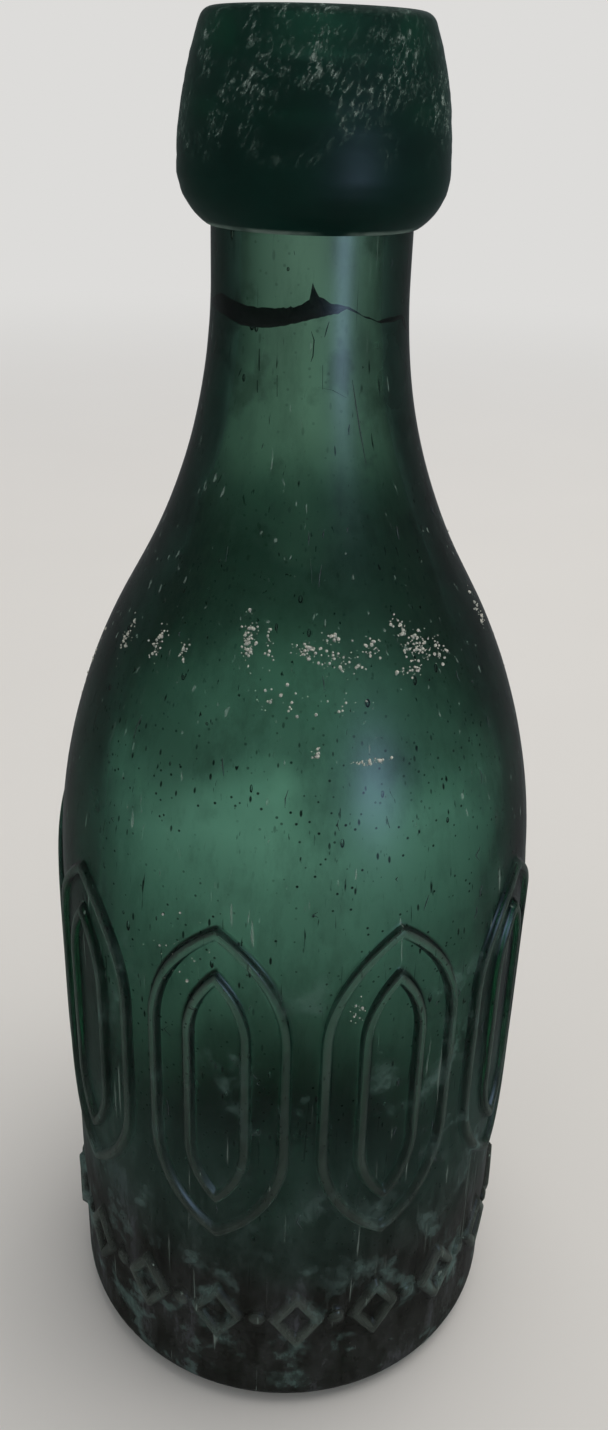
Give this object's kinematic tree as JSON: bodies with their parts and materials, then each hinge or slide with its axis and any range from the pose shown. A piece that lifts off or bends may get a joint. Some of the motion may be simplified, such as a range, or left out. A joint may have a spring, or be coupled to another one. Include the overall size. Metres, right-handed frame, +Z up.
{
  "type": "marble stopper bottle",
  "caption": "Squat mould-blown soda bottle with a sloping shoulder, plain neck and blob lip, raised pattern on the body, and a loose glass marble that seals on a rubber ring inside the lip.",
  "frame": {"origin": "centre of the standing ring, on the surface that the bottle stands on", "axes": "+Z up along the bottle's axis, out of the mouth; -Y is the side that the picture shows"},
  "size_m": [0.0675, 0.0675, 0.184],
  "materials": {
    "bottle_glass": "hazy old bottle glass, scratched and stained",
    "lip_glass": "thick tooled glass, scuffed",
    "ring_rubber": "matt, perished",
    "marble_glass": "polished"
  },
  "bodies": {
    "bottle": {"bottle_body": "bottle_glass", "applied_lip": "lip_glass", "sealing_ring": "ring_rubber"},
    "marble": {"marble_stopper": "marble_glass"}
  },
  "joints": [
    {"name": "marble_lift", "type": "slide", "parent": "bottle", "child": "marble", "axis": [0, 0, 1], "range_m": [0, 0.1558]}
  ]
}
